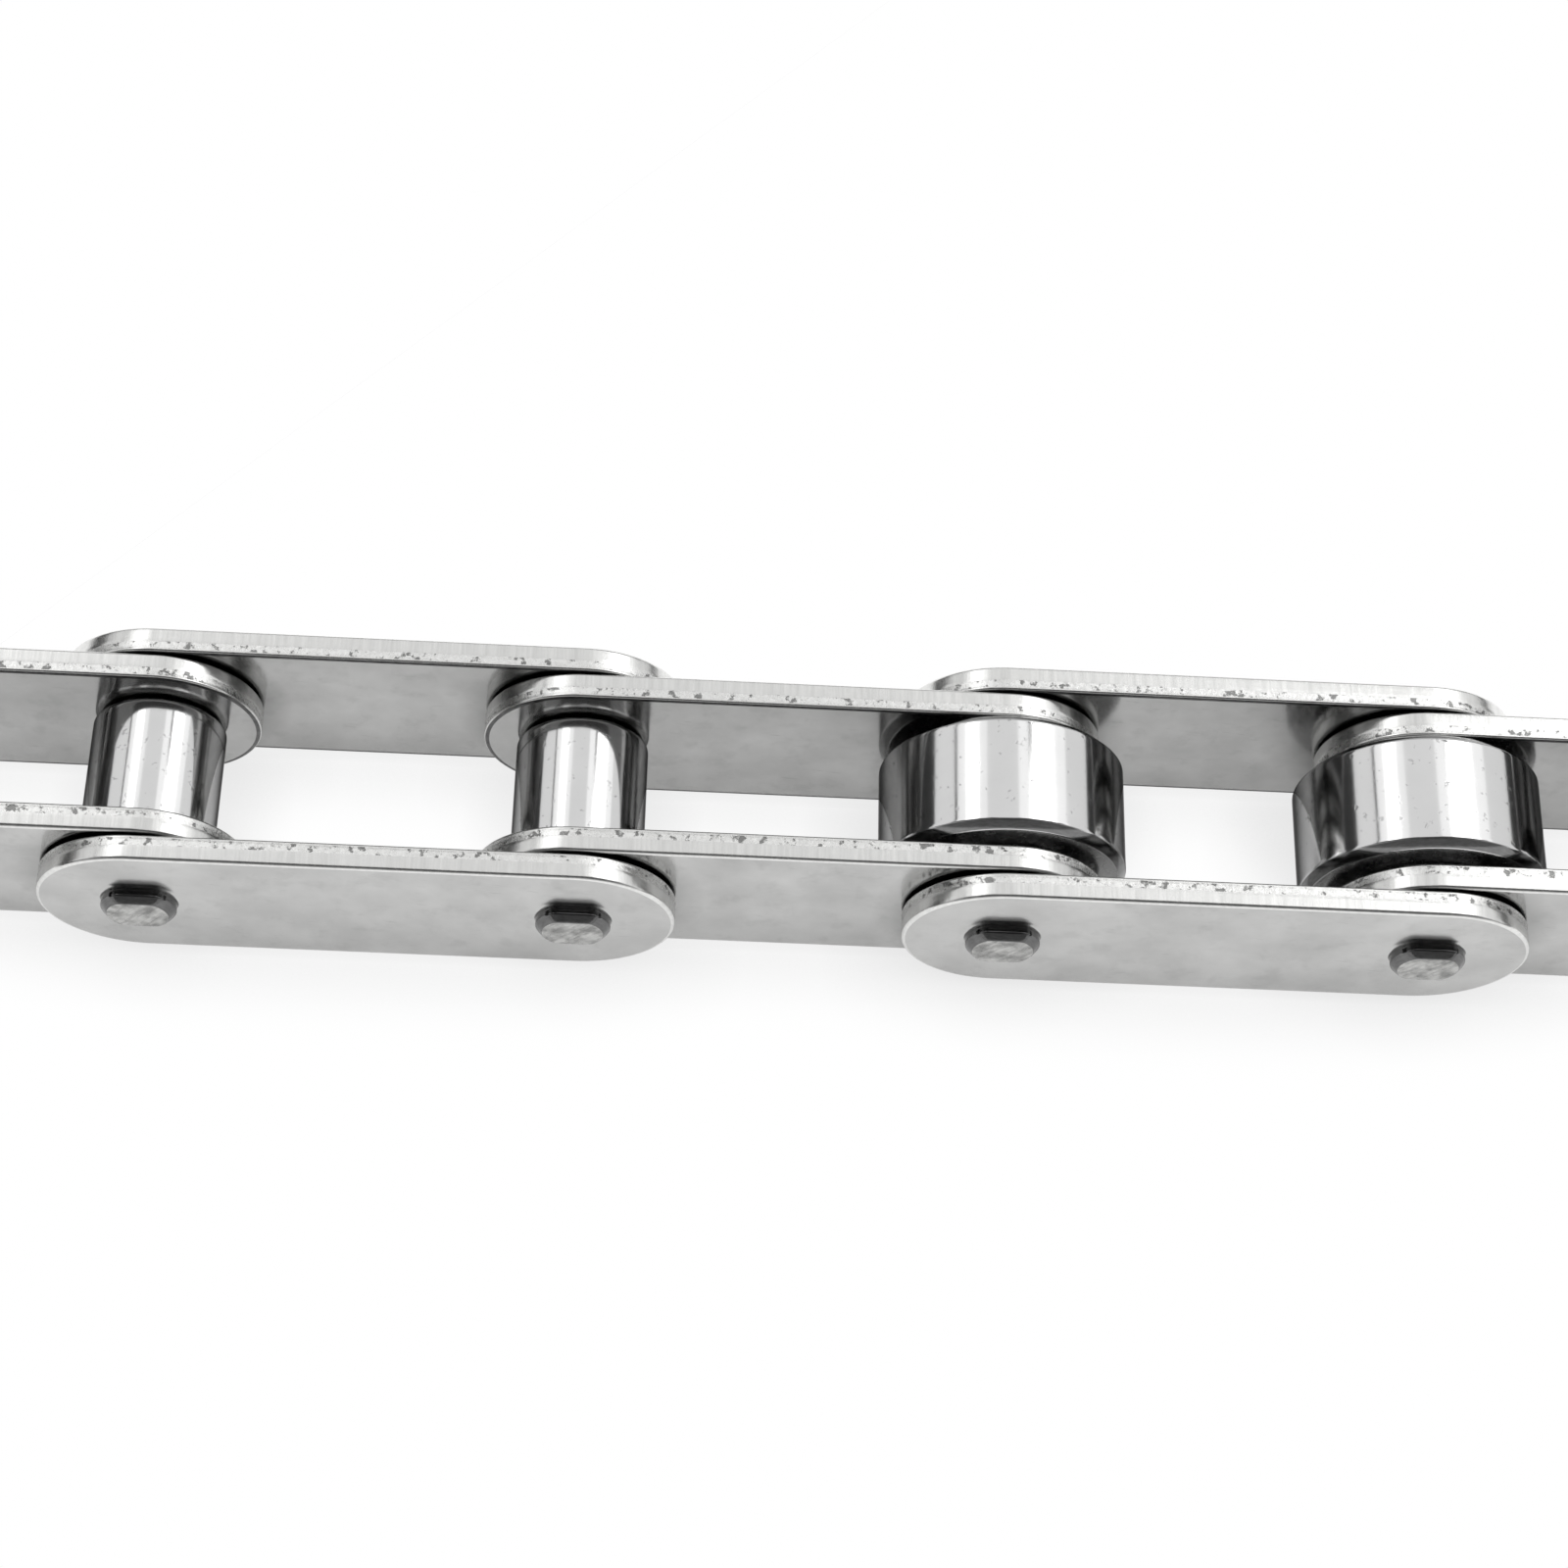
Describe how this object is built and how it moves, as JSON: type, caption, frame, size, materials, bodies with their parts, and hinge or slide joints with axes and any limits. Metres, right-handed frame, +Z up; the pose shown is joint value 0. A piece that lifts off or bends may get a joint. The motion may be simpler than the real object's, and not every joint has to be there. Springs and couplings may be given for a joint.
{
  "type": "roller chain",
  "caption": "Straight strand of double-pitch conveyor roller chain: flat links on pins and bushes, low small rollers at one end and tall carrier rollers at the other.",
  "frame": {"origin": "centre of the first bush's bore, at the strand's left end, midway between its plates", "axes": "+X along the strand from its small-roller end to its large-roller end, +Y along the pins, +Z up the height of the plates"},
  "size_m": [0.2106, 0.0252, 0.0222],
  "materials": {
    "link_plate": "satin rolled stainless steel with bright sheared edges",
    "roller": "turned and polished stainless steel",
    "pin": "ground stainless steel with scratched riveted ends",
    "bush": "ground stainless steel"
  },
  "bodies": {
    "link_1": {"inner_plate_1_front": "link_plate", "inner_plate_1_back": "link_plate", "bush_1": "bush", "bush_2": "bush"},
    "link_2": {"outer_plate_1_front": "link_plate", "outer_plate_1_back": "link_plate", "pin_1": "pin", "pin_2": "pin"},
    "link_3": {"inner_plate_2_front": "link_plate", "inner_plate_2_back": "link_plate", "bush_3": "bush", "bush_4": "bush"},
    "link_4": {"outer_plate_2_front": "link_plate", "outer_plate_2_back": "link_plate", "pin_3": "pin", "pin_4": "pin"},
    "link_5": {"inner_plate_3_front": "link_plate", "inner_plate_3_back": "link_plate", "bush_5": "bush", "bush_6": "bush"},
    "small_roller_1": {"small_roller_1": "roller"},
    "small_roller_2": {"small_roller_2": "roller"},
    "small_roller_3": {"small_roller_3": "roller"},
    "large_roller_1": {"large_roller_1": "roller"},
    "large_roller_2": {"large_roller_2": "roller"},
    "large_roller_3": {"large_roller_3": "roller"}
  },
  "joints": [
    {"name": "pin_2_fold", "type": "hinge", "parent": "link_3", "child": "link_2", "pos_m": [0.0762, 0, 0], "axis": [0, 1, 0], "range_deg": [-140, 140]},
    {"name": "pin_1_fold", "type": "hinge", "parent": "link_2", "child": "link_1", "pos_m": [0.0381, 0, 0], "axis": [0, -1, 0], "range_deg": [-140, 140]},
    {"name": "pin_3_fold", "type": "hinge", "parent": "link_3", "child": "link_4", "pos_m": [0.1143, 0, 0], "axis": [0, 1, 0], "range_deg": [-140, 140]},
    {"name": "pin_4_fold", "type": "hinge", "parent": "link_4", "child": "link_5", "pos_m": [0.1524, 0, 0], "axis": [0, -1, 0], "range_deg": [-140, 140]},
    {"name": "small_roller_1_spin", "type": "hinge", "parent": "link_1", "child": "small_roller_1", "pos_m": [0, 0, 0], "axis": [0, 1, 0], "continuous": true},
    {"name": "small_roller_2_spin", "type": "hinge", "parent": "link_1", "child": "small_roller_2", "pos_m": [0.0381, 0, 0], "axis": [0, 1, 0], "continuous": true},
    {"name": "small_roller_3_spin", "type": "hinge", "parent": "link_3", "child": "small_roller_3", "pos_m": [0.0762, 0, 0], "axis": [0, 1, 0], "continuous": true},
    {"name": "large_roller_1_spin", "type": "hinge", "parent": "link_3", "child": "large_roller_1", "pos_m": [0.1143, 0, 0], "axis": [0, 1, 0], "continuous": true},
    {"name": "large_roller_2_spin", "type": "hinge", "parent": "link_5", "child": "large_roller_2", "pos_m": [0.1524, 0, 0], "axis": [0, 1, 0], "continuous": true},
    {"name": "large_roller_3_spin", "type": "hinge", "parent": "link_5", "child": "large_roller_3", "pos_m": [0.1905, 0, 0], "axis": [0, 1, 0], "continuous": true}
  ]
}
